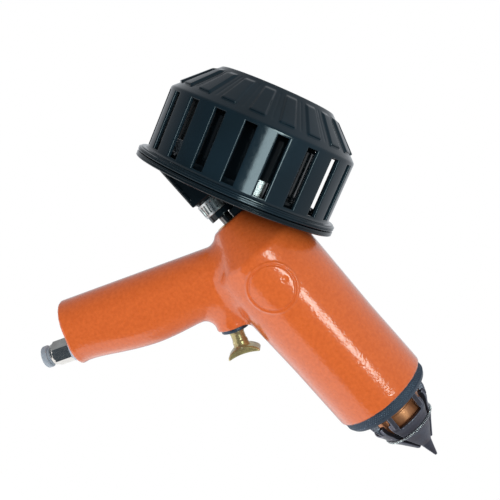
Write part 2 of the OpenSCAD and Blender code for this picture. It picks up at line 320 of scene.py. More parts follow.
def settled(field, verts, step):
    """Vertices moved along the field's slope onto its zero surface."""
    for _ in range(SETTLING_ROUNDS):
        slope = [field(verts + PROBE * e) - field(verts - PROBE * e) for e in np.eye(3)]
        slope = np.stack(slope, 1) / (2 * PROBE)
        move = -(field(verts) / np.maximum((slope ** 2).sum(1), LEAST_SLOPE))[:, None] * slope
        length = np.linalg.norm(move, axis=1)
        verts = verts + move * np.minimum(1, step / 3 / np.maximum(length, 1e-9))[:, None]
    return verts


# ---- materials

def set_inputs(node, inputs):
    """Sets inputs by name, with _ for a space."""
    for name, value in inputs.items():
        node.inputs[name.replace("_", " ")].default_value = value


def node_of(owner, kind, **inputs):
    """A new node of a material or the world, with some of its inputs set."""
    node = owner.node_tree.nodes.new(kind)
    set_inputs(node, inputs)
    return node


def link(owner, a, out, b, into):
    owner.node_tree.links.new(a.outputs[out], b.inputs[into])


def new_material(name, **sockets):
    """A material and its shader node, with some of the shader's sockets set."""
    material = bpy.data.materials.new(name)
    material.use_nodes = True
    shader = material.node_tree.nodes["Principled BSDF"]
    set_inputs(shader, sockets)
    return material, shader


def noise(material, coords, scale, detail):
    node = node_of(material, "ShaderNodeTexNoise", Scale=scale, Detail=detail, Roughness=0.5)
    link(material, *coords, node, "Vector")
    return node


def spread(material, source, out, low, high, to_low, to_high):
    """Maps the values from low to high onto to_low to to_high."""
    node = node_of(material, "ShaderNodeMapRange", From_Min=low, From_Max=high, To_Min=to_low, To_Max=to_high)
    link(material, source, out, node, "Value")
    return node


# a mix node's colour sockets by number, as its sockets for other types have the same names
MIX_A, MIX_B, MIX_OUT = 6, 7, 2


def mixed(material, factor, a, b):
    """Mixes two colours by a map range node; a is a colour or a mix node, b is a colour."""
    node = node_of(material, "ShaderNodeMix")
    node.data_type = "RGBA"
    link(material, factor, "Result", node, 0)
    if isinstance(a, bpy.types.Node):
        link(material, a, MIX_OUT, node, MIX_A)
    else:
        node.inputs[MIX_A].default_value = (*a, 1)
    node.inputs[MIX_B].default_value = (*b, 1)
    return node


def turned_coords(material, place):
    """Coordinates that are the same all round an axis, so that a texture on them makes lathe marks."""
    coords = node_of(material, "ShaderNodeTexCoord")
    mapping = node_of(material, "ShaderNodeMapping", Location=place.translation, Rotation=place.to_euler())
    mapping.vector_type = "TEXTURE"
    link(material, coords, "Object", mapping, "Vector")
    split = node_of(material, "ShaderNodeSeparateXYZ")
    link(material, mapping, "Vector", split, "Vector")
    flat = node_of(material, "ShaderNodeCombineXYZ")
    link(material, split, "X", flat, "X")
    link(material, split, "Y", flat, "Y")
    length = node_of(material, "ShaderNodeVectorMath")
    length.operation = "LENGTH"
    link(material, flat, "Vector", length, 0)
    out = node_of(material, "ShaderNodeCombineXYZ")
    link(material, length, "Value", out, "X")
    link(material, split, "Z", out, "Z")
    return out, "Vector"


SHADE_SHARE = 0.82
MARK_SHARE = 0.7
MARK_COVER = 0.45
CLOUD_DETAIL = 4.0
FINE_DETAIL = 2.0


def finish_of(slot, base, rough, metallic=0.0, shade=None, patches=45.0, grain=900.0, relief=0.02,
              rough_share=0.25, wear=None, turned=None, marks=2600.0, mark_depth=0.012, **sockets):
    """A slot's material: patchy colour and roughness, fine relief, lathe marks and worn edges.

    patches, grain and marks are about how many there are in a metre; relief and mark_depth are millimetres.
    wear is (colour, lowest and highest pointiness), and turned the frame that lathe marks go round."""
    material, shader = new_material(slot, Metallic=metallic, **sockets)
    coords = (node_of(material, "ShaderNodeTexCoord"), "Object")
    cloud = noise(material, coords, patches, CLOUD_DETAIL)
    level = spread(material, cloud, "Fac", 0.3, 0.7, 0.0, 1.0)
    colour = mixed(material, level, shade or tuple(SHADE_SHARE * c for c in base), base)
    fine = noise(material, coords, grain, FINE_DETAIL)
    rough_range = (rough * (1 - rough_share), rough * (1 + rough_share))
    rough_node = spread(material, fine, "Fac", 0.3, 0.7, *rough_range)
    height = spread(material, fine, "Fac", 0.0, 1.0, 0.0, relief * MM)
    if turned is not None:
        lines = noise(material, turned_coords(material, turned), marks, FINE_DETAIL)
        line_height = spread(material, lines, "Fac", 0.3, 0.7, 0.0, mark_depth * MM)
        both = node_of(material, "ShaderNodeMath")
        link(material, height, "Result", both, 0)
        link(material, line_height, "Result", both, 1)
        height = both
        line_shade = spread(material, lines, "Fac", 0.35, 0.65, 0.0, MARK_COVER)
        colour = mixed(material, line_shade, colour, tuple(MARK_SHARE * c for c in base))
    if wear:
        tone, low, high = wear
        geometry = node_of(material, "ShaderNodeNewGeometry")
        edge = spread(material, geometry, "Pointiness", low, high, 0.0, 1.0)
        colour = mixed(material, edge, colour, tone)
    bump = node_of(material, "ShaderNodeBump", Strength=1.0, Distance=1.0)
    link(material, height, 0, bump, "Height")
    link(material, colour, MIX_OUT, shader, "Base Color")
    link(material, rough_node, "Result", shader, "Roughness")
    link(material, bump, "Normal", shader, "Normal")
    if shader.inputs["Coat Weight"].default_value > 0:
        link(material, bump, "Normal", shader, "Coat Normal")
    return material


FINISHES = {
    "orange_paint": dict(
        base=(0.71, 0.145, 0.03), rough=0.34, shade=(0.62, 0.115, 0.022), patches=480, grain=640, relief=0.13,
        Coat_Weight=1.0, Coat_Roughness=0.08, Coat_IOR=1.45, Specular_IOR_Level=0.15),
    "bright_steel": dict(base=(0.6, 0.6, 0.61), rough=0.26, metallic=1.0, turned=BARREL),
    "bronze": dict(base=(0.66, 0.42, 0.18), rough=0.3, metallic=1.0, turned=BARREL),
    "chrome": dict(
        base=(0.15, 0.145, 0.14), rough=0.16, metallic=1.0, relief=0.004, turned=BARREL, mark_depth=0.002),
    "alloy": dict(base=(0.74, 0.74, 0.75), rough=0.32, metallic=1.0, turned=DRUM),
    "seal_rubber": dict(base=(0.02, 0.02, 0.02), rough=0.6, grain=1800, relief=0.03),
    "spring_steel": dict(base=(0.72, 0.74, 0.74), rough=0.22, metallic=1.0, relief=0.008),
    "black_oxide": dict(
        base=(0.045, 0.066, 0.098), rough=0.42, metallic=0.55, grain=1500, relief=0.03,
        wear=((0.16, 0.22, 0.3), 0.53, 0.6)),
    "dark_steel": dict(
        base=(0.105, 0.11, 0.14), rough=0.34, metallic=0.9, shade=(0.1, 0.085, 0.1), patches=180,
        turned=BARREL, marks=1500, wear=((0.42, 0.42, 0.5), 0.52, 0.6)),
    "copper_bronze": dict(
        base=(0.6, 0.25, 0.11), rough=0.4, metallic=0.7, shade=(0.34, 0.13, 0.06), patches=150,
        turned=BARREL),
    "trigger_brass": dict(
        base=(0.5, 0.46, 0.2), rough=0.26, metallic=0.6, shade=(0.3, 0.21, 0.11), patches=170, grain=500,
        relief=0.03, wear=((0.75, 0.68, 0.4), 0.52, 0.58)),
    "nickel": dict(
        base=(0.62, 0.6, 0.56), rough=0.16, metallic=1.0, shade=(0.5, 0.47, 0.44), patches=220, relief=0.01),
    "seal_ring": dict(base=(0.55, 0.62, 0.75), rough=0.4, relief=0.02),
    "collar_plastic": dict(base=(0.34, 0.39, 0.45), rough=0.35, relief=0.015, Coat_Weight=0.2),
    "black_plastic": dict(
        base=(0.005, 0.011, 0.016), rough=0.13, shade=(0.004, 0.008, 0.011), patches=30, grain=420,
        relief=0.012, Specular_IOR_Level=0.25),
    "clamp_steel": dict(
        base=(0.52, 0.54, 0.54), rough=0.34, metallic=1.0, shade=(0.4, 0.42, 0.42), patches=200),
}
MATERIALS = {slot: finish_of(slot, **look) for slot, look in FINISHES.items()}


# ---- making pieces

def added(name, data):
    """A new object in the scene."""
    made = bpy.data.objects.new(name, data)
    scene.collection.objects.link(made)
    return made


def piece(name, shape, place, body, slot, *nodes, bevel=0.0, sharp=35):
    """An object from a shape, riding on a body in a slot's material, standing for CAD nodes."""
    verts, faces = shape
    mesh = bpy.data.meshes.new(name)
    mesh.from_pydata(np.asarray(verts).tolist(), [], faces)
    mesh.transform(place)
    if place.determinant() < 0:
        mesh.flip_normals()
    built = bmesh.new()
    built.from_mesh(mesh)
    bmesh.ops.remove_doubles(built, verts=built.verts, dist=1e-7)
    bmesh.ops.recalc_face_normals(built, faces=built.faces)
    built.to_mesh(mesh)
    built.free()
    mesh.shade_smooth()
    mesh.set_sharp_from_angle(angle=math.radians(sharp))
    made = added(name, mesh)
    if bevel:
        modifier = made.modifiers.new("soft edges", "BEVEL")
        modifier.width = bevel * MM
        modifier.segments = 2
        modifier.limit_method = "ANGLE"
        modifier.angle_limit = math.radians(sharp)
        modifier.harden_normals = True
    mesh.materials.append(MATERIALS[slot])
    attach(made, body)
    if nodes:
        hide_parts(*nodes)
    return made


def dress_nodes():
    """Gives every CAD node that stays its slot's material."""
    for part in frame["record"]["subparts"]:
        node = frame["nodes"][part["node"]]
        node.data.materials.clear()
        node.data.materials.append(MATERIALS[part["material_slot"]])


# ---- casting

BASE_LOW = -3
REAR_X = 1000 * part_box("rear_bush")[0].x
SEAT_R = MOUNT["barrel_seat"]["dims"]["r_mm"]
SEAT_LEN = MOUNT["barrel_seat"]["dims"]["length_mm"]
CONE_LEN = 24
CONE_X = REAR_X + CONE_LEN
CREASE_R = 33.3
REAR_R = 12.5
GRIP_END = -47.2
GRIP_TOP = 91
GRIP_HALF = 17
GRIP_REAR = -22
# front of the handle, as (height in the grip's frame, distance in front of its axis)
GRIP_FRONT = np.array([
    (-53, 23), (-49, 21.3), (-44, 20), (-38, 19.9), (-32, 20.5), (-19, 22.3), (-7, 23.6), (4, 24.1),
    (15, 23.5), (25, 22.3), (33, 21.3), (41, 21.2), (55, 22.5), (75, 23), (95, 23)])
BOSS_Z = 52
BOSS_R = 11
BOSS_X = 30.5
# bores in the handle: the bush's and the valve's start at an X, the air bore runs up from the end at its X
BUSH_BORE_R, BUSH_BORE_X = 8, 18
VALVE_BORE_R, VALVE_BORE_X = 5.5, -14
AIR_BORE_R, AIR_BORE_X, AIR_BORE_LEN = 5, 9, 16
PAD_X, PAD_Z, PAD_R = -97.3, -3.1, 15.1
PAD_RISE = 0.55
# the pads are on the barrel's skin, on the parts this far to the sides
PAD_SIDE = 20
SKIN_R = 31
DIMPLE_X, DIMPLE_Z, DIMPLE_R, DIMPLE_DEPTH = 0.7, 9.2, 2.2, 0.45
LINER_R = extent("cylinder_liner", BARREL)[2] + 0.05
LINER_X = 1000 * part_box("cylinder_liner")[0].x
SKIRT_R = 29.55
SKIRT_X = -16
# cell sizes of the meshed fields
CASTING_CELL = 1.1
FINE_CELL = 0.42


def curve_through(points, at):
    """A smooth curve through (position, value) points."""
    x, y = points.T
    slope = np.gradient(y, x)
    i = np.clip(np.searchsorted(x, at) - 1, 0, len(x) - 2)
    width = x[i + 1] - x[i]
    t = np.clip((at - x[i]) / width, 0, 1)
    return ((2 * t ** 3 - 3 * t ** 2 + 1) * y[i] + (t ** 3 - 2 * t ** 2 + t) * width * slope[i]
            + (3 * t ** 2 - 2 * t ** 3) * y[i + 1] + (t ** 3 - t ** 2) * width * slope[i + 1])


def pad_relief(p):
    """Height of the round pads on the barrel's sides: a disc, a groove, a rim and a small dimple."""
    across = np.hypot(p[:, 0] - PAD_X, p[:, 2] - PAD_Z)

    def hump(centre, width, height):
        return height * np.exp(-((across - centre) / width) ** 2)

    disc = PAD_RISE / (1 + np.exp((across - PAD_R + 1.7) / 0.22))
    rim = hump(PAD_R, 0.75, PAD_RISE)
    groove = hump(PAD_R - 1.5, 0.45, 0.3)
    spot = np.hypot(p[:, 0] - PAD_X - DIMPLE_X, p[:, 2] - PAD_Z - DIMPLE_Z)
    dimple = DIMPLE_DEPTH * np.exp(-(spot / DIMPLE_R * 1.3) ** 4)
    return np.where(np.abs(p[:, 1]) > PAD_SIDE, disc + rim - groove - dimple, 0)


def casting_body(p):
    """The barrel, its rear cone, the handle and the trigger's boss, without hollows."""
    x, y, z = p.T
    about = np.hypot(y, z)
    side = about - np.interp(-x, [0, SEAT_LEN, -CONE_X], [SEAT_R, SEAT_R, CREASE_R])
    run, rise = CONE_LEN, CREASE_R - REAR_R
    cone = ((about - REAR_R) * run - (x - REAR_X) * rise) / math.hypot(run, rise)
    barrel = round_cut(round_cut(side, cone, 1.3), REAR_X - x, 1.5)
    local = mapped(p, ROW_TO_GRIP)
    front = curve_through(GRIP_FRONT, local[:, 2])
    centre, half = (front + GRIP_REAR) / 2, (front - GRIP_REAR) / 2
    along = np.maximum(np.abs(local[:, 0] - centre) - half + GRIP_HALF, 0)
    handle = np.hypot(along, y) - GRIP_HALF
    handle = round_cut(handle, GRIP_END - local[:, 2], 1.2)
    handle = np.maximum(handle, local[:, 2] - GRIP_TOP)
    boss = round_cut(np.hypot(y, local[:, 2] - BOSS_Z) - BOSS_R, local[:, 0] - BOSS_X, 1.2)
    boss = np.maximum(boss, -local[:, 0])
    body = round_union(round_union(handle, boss, 7), barrel, 5)
    return round_cut(body, x, 0.7), about, local


def casting_field(p):
    """The casting with its pads, its hollows and the room for the drum's base."""
    body, about, local = casting_body(p)
    body = body - pad_relief(p)
    body = np.maximum(body, mapped(p, ROW_TO_DRUM)[:, 2] - BASE_LOW)
    across_boss = np.hypot(p[:, 1], local[:, 2] - BOSS_Z)
    across_air = np.hypot(p[:, 1], local[:, 0] - AIR_BORE_X)
    hollows = [
        np.maximum(about - LINER_R, LINER_X - p[:, 0]),
        np.maximum(about - SKIRT_R, SKIRT_X - p[:, 0]),
        np.maximum(across_boss - BUSH_BORE_R, BUSH_BORE_X - local[:, 0]),
        np.maximum(across_boss - VALVE_BORE_R, VALVE_BORE_X - local[:, 0]),
        np.maximum(across_air - AIR_BORE_R, local[:, 2] - GRIP_END - AIR_BORE_LEN)]
    for hollow in hollows:
        body = np.maximum(body, -hollow)
    return body


def make_casting():
    verts, faces = surface(casting_field, (-178, -36, -135), (2, 36, 36), CASTING_CELL)
    built = bmesh.new()
    built_verts = [built.verts.new(v) for v in verts]
    for face in faces:
        built.faces.new([built_verts[i] for i in face])
    # finer mesh where the pads' rims and dimples are
    for low, high in ((0, PAD_R + 3), (PAD_R - 3.2, PAD_R + 1.8)):
        edges = set()
        for face in built.faces:
            x, y, z = face.calc_center_median()
            across = math.hypot(x - PAD_X, z - PAD_Z)
            if low <= across < high and math.hypot(y, z) > SKIN_R and abs(y) > PAD_SIDE:
                edges.update(face.edges)
        bmesh.ops.subdivide_edges(built, edges=list(edges), cuts=1, use_grid_fill=True)
    verts = np.array([v.co for v in built.verts])
    near = np.hypot(verts[:, 0] - PAD_X, verts[:, 2] - PAD_Z) < PAD_R + 4
    near &= np.abs(verts[:, 1]) > PAD_SIDE
    verts[near] = settled(casting_field, verts[near], 0.5)
    built.verts.index_update()
    faces = [[v.index for v in f.verts] for f in built.faces]
    built.free()
    piece("casting", (verts, faces), ROW, "frame", "orange_paint", "main_casting", sharp=70)


# ---- drum

BASKET_LOW, RIM_H, FLANGE_R = extent("drum_basket", DRUM)
WALL_R = 59.3
WALL_IN = 56.8
SHOULDER_H = 42
RIM_R = 36
ROOF = (54, 56.5)
SLOTS = 20
SLOT_STEP = TAU / SLOTS
SLOT_HALF = 3.25
SLOT_Z = (5.7, 40)
SLOT_PHASE = math.radians(15)
BAR_POINTS = 9
BAR_EDGE = 0.7
BAR_PROUD = 0.02
CONE_PAD_RISE = 1.7
CONE_PAD_EDGE = 1.3
NEAR_CONE = 2.5
SEAM_DEPTH, SEAM_HALF = 0.25, 0.5
FLOOR_UNDER = -2.2
SPINDLE_R = 5
THREAD_R, ROOT_R, THREADS = 3.9, 3.45, 14
FIT = 0.05
NUT_R, NUT_LOBES = 13, 12
PUSHERS = 3
PUSHER_STEP = TAU / PUSHERS
PUSHER_PHASE = math.radians(-75)
PUSHER_IN = 41
PUSHER_HALF = 4.2
CHUTE_END = 1000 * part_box("drum_base")[0].x
CHUTE_LOW = -10.2
CHUTE_HALF = 9.5
LIP_UP, LIP_HALF, LIP_OUT = 1.6, 0.8, 0.9
NOTCH_PITCH, NOTCH_HALF = 6.9, 0.7
FEED_BORE_R = 4.4
FEED_BORE_X = (-191.5, -160.5)
FOOT_HALF, FOOT_LOW, FOOT_FRONT = 6.5, 4.6, -109.5
NECK_X = (-164.5, -147.5)
NECK_R = 8.6
TUBE_X = -161.5
TUBE_R = extent("feed_tube", BARREL)[2]


def smooth(value, low, high):
    """0 below low, 1 above high, and a smooth rise between."""
    t = np.clip((value - low) / (high - low), 0, 1)
    return t * t * (3 - 2 * t)


def cone_pads(radius, height, angle):
    """Raised pads on the drum's cone, one for each slot, with faint seams between them."""
    run = WALL_R - RIM_R
    along = (height - SHOULDER_H) / (RIM_H - SHOULDER_H)
    off_cone = np.abs(radius - (WALL_R - along * run))
    turn = from_middle(angle, SLOT_PHASE, SLOT_STEP) * radius
    half = 0.3 * SLOT_STEP * WALL_R - 2.2 * along
    ends = smooth(along, 0.17, 0.22) * (1 - smooth(along, 0.84, 0.89))
    pad = ends * (1 - smooth(turn, half - CONE_PAD_EDGE, half)) * (off_cone < NEAR_CONE)
    from_seam = turn - SLOT_STEP / 2 * radius
    seam = SEAM_DEPTH * np.exp(-(from_seam / SEAM_HALF) ** 2) * (off_cone < NEAR_CONE) * ends
    return radius + CONE_PAD_RISE * pad - seam


def dense(points, step, wanted):
    """The outline with points added on the long segments that wanted(point) is true for."""
    out = []
    for a, b in zip(points, points[1:] + points[:1]):
        out.append(a)
        count = int(math.dist(a, b) / step)
        if count > 1 and wanted(a) and wanted(b):
            out += [
                (a[0] + (b[0] - a[0]) * k / count, a[1] + (b[1] - a[1]) * k / count)
                for k in range(1, count)]
    return out


def slot_bar(turn):
    """One bar of the slotted wall, a little proud of the rings that it joins."""
    outline, radii = [], []
    for radius, way in ((WALL_R + BAR_PROUD, 1), (WALL_IN, -1)):
        edge = SLOT_STEP / 2 - math.asin(SLOT_HALF / radius)
        for k in range(BAR_POINTS):
            angle = turn + way * edge * (k / (BAR_POINTS // 2) - 1)
            outline.append((radius * math.cos(angle), radius * math.sin(angle)))
            radii.append(BAR_EDGE if k in (0, BAR_POINTS - 1) else 0)
    return prism(softened(outline, radii), SLOT_Z[0] - 1, SLOT_Z[1] + 0.5)


def make_basket():
    foot = [
        (WALL_IN, BASKET_LOW), (FLANGE_R - 0.4, BASKET_LOW), (FLANGE_R, BASKET_LOW + 0.5), (FLANGE_R, 1.3),
        (FLANGE_R - 0.6, 1.6), (FLANGE_R, 1.9), (FLANGE_R, 2.5), (FLANGE_R - 1.2, 2.9), (FLANGE_R - 1.2, 3.5),
        (FLANGE_R - 2.4, 3.7), (WALL_R + 1.2, 3.7), (WALL_R, 4.8), (WALL_R, SLOT_Z[0]), (WALL_IN, SLOT_Z[0])]
    foot_radii = [0.3, 0.2, 0.2, 0.15, 0.2, 0.15, 0.3, 0.2, 0.25, 0.2, 0.6, 0.6, 0.5, 0.5]
    cap = [
        (WALL_IN, SLOT_Z[1]), (WALL_R, SLOT_Z[1]), (WALL_R, SHOULDER_H), (RIM_R, RIM_H), (RIM_R - 2.5, RIM_H),
        (RIM_R - 2.5, ROOF[1]), (5.4, ROOF[1]), (5.4, ROOF[0]), (RIM_R + 6.5, ROOF[0]), (WALL_IN, 40.8)]
    cap_radii = [0.3, 0.4, 7.5, 1.4, 0.9, 1.0, 0.4, 0.4, 1.5, 0.3]
    outline = dense(softened(cap, cap_radii, steps=5), 0.7, lambda p: p[1] > SHOULDER_H and p[0] > RIM_R)
    bars = [slot_bar(SLOT_PHASE + (i + 0.5) * SLOT_STEP) for i in range(SLOTS)]
    shape = joined(lathe(softened(foot, foot_radii), 240), lathe(outline, 780, cone_pads), *bars)
    return piece("drum", shape, DRUM, "basket", "black_plastic", "drum_basket", sharp=40)


def chute_field(p):
    """The chute behind the drum and the neck round the feed tube."""
    x, y, z = p.T
    under_drum = mapped(p, ROW_TO_DRUM)[:, 2] - FLOOR_UNDER
    width = np.abs(y) - CHUTE_HALF
    body = round_cut(width, np.maximum(CHUTE_END - x, x - NECK_X[0] - 2), 0.8)
    body = round_cut(body, CHUTE_LOW - z, 0.9)
    # a lip with small notches along the lower edge
    lip = np.maximum(np.abs(z - CHUTE_LOW - LIP_UP) - LIP_HALF, np.abs(y) - CHUTE_HALF - LIP_OUT)
    lip = np.maximum(lip, np.maximum(CHUTE_END + 2 - x, x - NECK_X[0] + 1))
    notch = np.abs((x - CHUTE_END) % NOTCH_PITCH - NOTCH_PITCH / 2) - NOTCH_HALF
    body = round_union(body, np.maximum(lip, -notch), 0.4)
    about = np.hypot(y, z)
    neck = round_cut(about - NECK_R, np.maximum(NECK_X[0] - x, x - NECK_X[1]), 0.5)
    body = round_union(np.maximum(body, under_drum), neck, 1.5)
    body = np.maximum(body, -np.maximum(about - TUBE_R, TUBE_X - x))
    bore = np.maximum(about - FEED_BORE_R, np.maximum(FEED_BORE_X[0] - x, x - FEED_BORE_X[1]))
    return np.maximum(body, -bore)


def make_drum_base():
    floor = [
        (SPINDLE_R, FLOOR_UNDER), (WALL_R - 3, FLOOR_UNDER), (WALL_R - 3, BASE_LOW),
        (FLANGE_R - 0.5, BASE_LOW), (FLANGE_R, BASE_LOW + 0.4), (FLANGE_R, -1.9), (FLANGE_R - 0.4, -1.6),
        (FLANGE_R, -1.3), (FLANGE_R, -0.6), (FLANGE_R - 0.4, -0.2), (WALL_R, -0.2), (WALL_IN - 0.5, 0),
        (WALL_IN - 0.5, 3), (WALL_IN - 2, 3), (WALL_IN - 2, 0), (SPINDLE_R, 0)]
    plate = lathe(softened(floor, 0.25), 240)
    piece("drum_floor", plate, DRUM, "frame", "black_plastic", "drum_base", sharp=40)
    chute = surface(chute_field, (CHUTE_END - 2, -12, CHUTE_LOW - 2), (NECK_X[1] + 2, 12, 16), 0.5)
    piece("drum_chute", chute, ROW, "frame", "black_plastic", "drum_base", sharp=50)


def foot_field(p):
    """The web that carries the drum on the casting's cone."""
    x, y, z = p.T
    drum_z = mapped(p, ROW_TO_DRUM)[:, 2]
    body = round_cut(np.abs(y) - FOOT_HALF, np.maximum(NECK_X[1] - x, x - FOOT_FRONT), 2)
    body = round_cut(body, FOOT_LOW - z, 0.8)
    body = np.maximum(body, drum_z - FLOOR_UNDER)
    slope = (CREASE_R - REAR_R) / CONE_LEN
    cone = (np.hypot(y, z) - CREASE_R + slope * (CONE_X - x)) / math.hypot(1, slope)
    casting = np.maximum(np.maximum(cone, REAR_X - x), drum_z - BASE_LOW)
    return np.maximum(body, -casting)


def make_drum_parts():
    foot = surface(foot_field, (NECK_X[1] - 2, -15, 2), (-107, 15, 38), 0.6)
    piece("drum_web", foot, ROW, "frame", "black_plastic", "drum_foot", sharp=50)

    low, high, outer = extent("feed_disc", DRUM)
    block_low, block_high, block_r = extent("disc_pushers", DRUM)

    def notched(radius, height, angle):
        turn = from_middle(angle, PUSHER_PHASE, PUSHER_STEP) * outer
        return np.where((turn < PUSHER_HALF + 0.2) & (radius > PUSHER_IN), PUSHER_IN, radius)

    disc = [
        (SPINDLE_R + FIT, low), (outer, low), (outer, high), (outer - 5, high), (outer - 6, high - 0.8),
        (SPINDLE_R + FIT, high - 0.8)]
    disc = lathe(softened(disc, [0.2, 0.8, 0.8, 0.3, 0.3, 0.2]), 1080, notched)
    piece("carrier_disc", disc, DRUM, "disc", "black_plastic", "feed_disc", sharp=40)
    tip = block_r - 0.5
    block = softened(
        [(PUSHER_IN, -PUSHER_HALF), (tip, -PUSHER_HALF), (tip, PUSHER_HALF), (PUSHER_IN, PUSHER_HALF)],
        [0.3, 1.8, 1.8, 0.3])
    block = prism(block, block_low, block_high)
    turns = [PUSHER_PHASE + i * PUSHER_STEP for i in range(PUSHERS)]
    blocks = [moved(block, Matrix.Rotation(turn, 4, "Z")) for turn in turns]
    piece("pushers", joined(*blocks), DRUM, "disc", "alloy", "disc_pushers", bevel=0.7)

    low, high, hub = extent("rotor_hub", DRUM)
    cone = [
        (SPINDLE_R + FIT, low - 0.7), (hub, low - 0.7), (hub, high - 3), (hub - 3, high), (12, high),
        (11, high - 1.5), (SPINDLE_R + FIT, high - 1.5)]
    cone = softened(cone, [0.2, 0.4, 2.2, 2.0, 0.8, 0.5, 0.3])
    piece("hub_drum", lathe(cone, 128), DRUM, "disc", "black_plastic", "rotor_hub")

    low, high, _ = extent("spindle", DRUM)
    shaft = [
        (0, low), (SPINDLE_R, low), (SPINDLE_R, 0), (7, 0), (7, 1.5), (SPINDLE_R, 1.5),
        (SPINDLE_R, ROOF[0] - 12), (THREAD_R, ROOF[0] - 12)]
    for k in range(THREADS):
        shaft += [(THREAD_R, ROOF[0] - 11.2 + k), (ROOT_R, ROOF[0] - 10.7 + k)]
    shaft += [(THREAD_R, high - 0.8), (3.2, high), (0, high)]
    piece("spindle_shaft", lathe(softened(shaft, 0.25), 64), DRUM, "frame", "bright_steel", "spindle")

    def scalloped(radius, height, angle):
        lobe = np.cos(NUT_LOBES * angle)
        return np.where(radius > 9.5, radius - 0.9 * np.maximum(lobe, -0.2) ** 2, radius)

    nut = [
        (4, ROOF[0] - 3), (5.32, ROOF[0] - 3), (5.32, ROOF[1] + 0.4), (NUT_R, ROOF[1] + 0.4),
        (NUT_R, RIM_H - 1), (8, RIM_H - 1), (7, RIM_H - 2), (4, RIM_H - 2)]
    nut = softened(nut, [0.1, 0.3, 0.1, 0.8, 1.2, 0.6, 0.4, 0.3])
    piece("cap_nut", lathe(nut, 360, scalloped), DRUM, "nut", "black_plastic", "thumb_nut")

    low, high = extent("base_screws", DRUM)[:2]
    screw = [
        (0, low), (1.5, low), (2, low + 0.6), (2, 0), (3.5, 0), (3.5, 1.5), (3.1, high), (1.9, high),
        (1.5, high - 1.2), (0, high - 1.2)]
    screw = lathe(softened(screw, 0.2), 32)
    screws = [moved(screw, Matrix.Translation((32, y, 0))) for y in (-8, 8)]
    piece("plate_screws", joined(*screws), DRUM, "frame", "bright_steel", "base_screws")


# ---- feed tube and clamp

BAND_LOW, BAND_HIGH, BAND_R = extent("clamp_band", BARREL)
BAND_SLOTS = 22
BAND_SLANT = 0.18
BAND_SLOT_HALF = 2.6
WORM_R, WORM_PITCH = 3, 1.3
WORM_HEAD_R = 4
WORM_HEAD_Z = -7


def make_feed():
    low, high, outer = extent("rear_bush", BARREL)
    piece("bush", ring(outer, TUBE_R, low - 0.4, high, 0.35), BARREL, "frame", "bronze", "rear_bush")
    low, high, outer = extent("feed_tube", BARREL)
    piece("tube", ring(outer, outer - 0.65, low, high, 0.2, steps=64), BARREL, "frame", "chrome", "feed_tube")

    def slotted(radius, height, angle):
        along = (height - (BAND_LOW + BAND_HIGH) / 2) / BAND_SLOT_HALF
        turn = (angle / TAU * BAND_SLOTS - BAND_SLANT * along) % 1 - 0.5
        cut = (1 - smooth(np.abs(turn), 0.23, 0.28)) * (1 - smooth(np.abs(along), 0.95, 1.1))
        return np.where(radius > NECK_R + 0.4, radius - 0.9 * cut, radius)

    band = [(NECK_R, BAND_LOW), (BAND_R, BAND_LOW), (BAND_R, BAND_HIGH), (NECK_R, BAND_HIGH)]
    band = dense(softened(band, 0.3), 0.3, lambda p: p[0] > BAND_R - 0.1)
    piece("band", lathe(band, 720, slotted), BARREL, "frame", "clamp_steel", "clamp_band", sharp=40)

    low, high = [1000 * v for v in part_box("clamp_housing")]
    screw_low, screw_high = [1000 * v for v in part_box("clamp_screw")]
    x, y = (low.x + high.x) / 2, (screw_low.y + screw_high.y) / 2
    case = [
        (low.x, low.y), (low.x, high.y - 2.5), (low.x + 2.8, high.y), (high.x - 2.8, high.y),
        (high.x, high.y - 2.5), (high.x, low.y)]
    case = prism(softened(case, [0, 1.5, 2, 2, 1.5, 0]), low.z, high.z)
    piece("clamp_case", case, ROW, "frame", "clamp_steel", "clamp_housing", bevel=0.6)

    def threaded(radius, height, angle):
        wave = np.sin(angle - height * TAU / WORM_PITCH)
        return np.where((radius > 2.7) & (height > -6.5), radius - 0.25 * (1 - wave) / 2, radius)

    thread = [(0, WORM_HEAD_Z), (WORM_R, WORM_HEAD_Z), (WORM_R, screw_high.z), (0, screw_high.z)]
    thread = dense(softened(thread, 0.3), 0.2, lambda p: p[0] > WORM_R - 0.1)
    head = [
        (0, screw_low.z + 1.2), (1.4, screw_low.z + 1), (2.4, screw_low.z), (3.3, screw_low.z),
        (WORM_HEAD_R, screw_low.z + 0.8), (WORM_HEAD_R, WORM_HEAD_Z), (0, WORM_HEAD_Z)]
    hexed = hexagon(WORM_HEAD_R * math.cos(math.pi / 6))
    worm = joined(lathe(thread, 48, threaded), lathe(softened(head, 0.2), 96, hexed))
    worm = moved(worm, Matrix.Translation((x, y, 0)))
    piece("worm", worm, ROW, "worm_screw", "clamp_steel", "clamp_screw")


# ---- nose

RING_LEN, RING_R = extent("retaining_ring", BARREL)[1:]
PIVOT = JOINT["near_jaw_hinge"]["pos_m"]
PIVOT_X = 1000 * PIVOT[0]
PIVOT_R = 1000 * math.hypot(PIVOT[1], PIVOT[2])
JAW_PHASE = math.radians(16)
